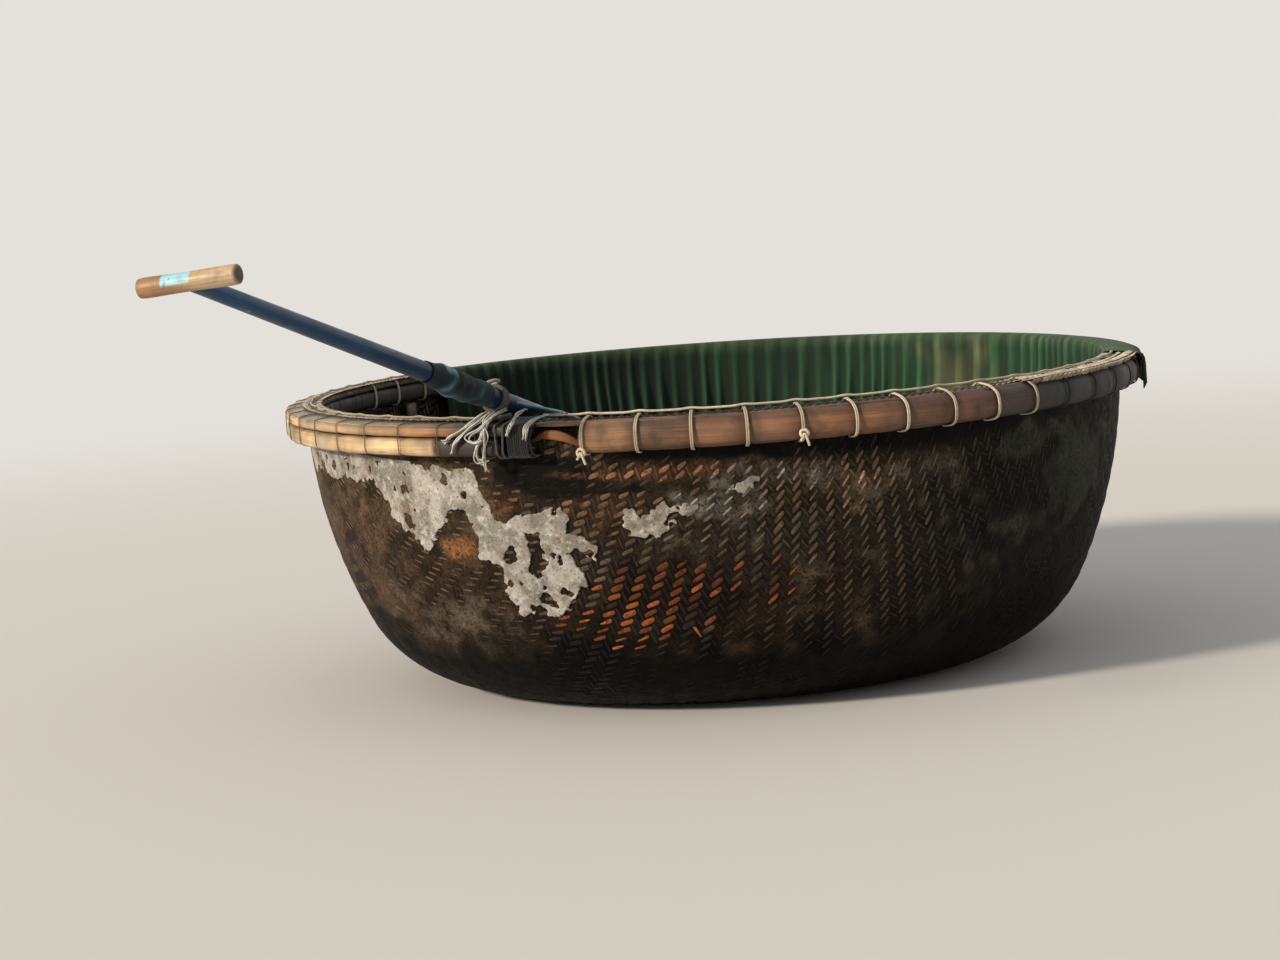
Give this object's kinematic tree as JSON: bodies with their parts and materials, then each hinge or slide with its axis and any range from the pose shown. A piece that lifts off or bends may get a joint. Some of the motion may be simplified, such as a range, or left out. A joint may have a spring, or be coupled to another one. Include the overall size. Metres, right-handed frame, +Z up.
{
  "type": "round basket boat",
  "caption": "Round woven bamboo basket boat with a lashed hoop rim, inner ribs, a cloth lining over the far rim and an oar tied to the rim.",
  "frame": {"origin": "centre of the flat floor of the hull, on its underside, on the ground", "axes": "+Z up, -Y towards the side with the oar's handle, +X to the right seen from that side"},
  "size_m": [2.2068, 3.2554, 1.1734],
  "materials": {
    "woven_bamboo": "woven split bamboo, tarred and flaking",
    "hoop_bamboo": "weathered split bamboo",
    "pale_bamboo": "weathered pale split bamboo",
    "rib_bamboo": "split bamboo",
    "cord": "weathered cord",
    "dark_cord": "tarred cord",
    "green_mesh": "fine woven mesh cloth",
    "blue_paint": "worn gloss paint on wood",
    "grip_wood": "worn bare wood",
    "teal_cloth": "wound mesh cloth"
  },
  "bodies": {
    "hull": {"hull_basket": "woven_bamboo", "lining": "green_mesh", "oar_tie_rope": "cord", "rib_across_1": "rib_bamboo", "rib_across_2": "rib_bamboo", "rib_across_3": "rib_bamboo", "rib_across_4": "rib_bamboo", "rib_across_5": "rib_bamboo", "rib_along_1": "rib_bamboo", "rib_along_2": "rib_bamboo", "rib_along_3": "rib_bamboo", "rib_along_4": "rib_bamboo", "rib_along_5": "rib_bamboo", "rim_broken_strip": "pale_bamboo", "rim_cap": "pale_bamboo", "rim_inner_far": "hoop_bamboo", "rim_inner_near": "hoop_bamboo", "rim_joint_binding": "dark_cord", "rim_lashings": "cord", "rim_lath_far": "hoop_bamboo", "rim_lath_near": "hoop_bamboo", "rim_outer_back": "hoop_bamboo", "rim_outer_front": "hoop_bamboo", "rim_outer_left_lower": "pale_bamboo", "rim_outer_left_upper": "hoop_bamboo", "rim_outer_right": "hoop_bamboo", "rim_running_cord": "cord"},
    "oar_tie": {"oar_pad": "dark_cord"},
    "oar": {"oar_shaft": "blue_paint", "oar_blade": "blue_paint", "oar_grip": "grip_wood", "oar_wrap": "teal_cloth", "oar_seizing": "cord"}
  },
  "joints": [
    {"name": "oar_swing", "type": "hinge", "parent": "hull", "child": "oar_tie", "pos_m": [-0.41417, -0.97574, 0.7902], "axis": [0, 0, 1], "range_deg": [-20, 20]},
    {"name": "oar_dip", "type": "hinge", "parent": "oar_tie", "child": "oar", "pos_m": [-0.41417, -0.97574, 0.7902], "axis": [0.9444, -0.3289, 0], "range_deg": [0, 25]}
  ]
}
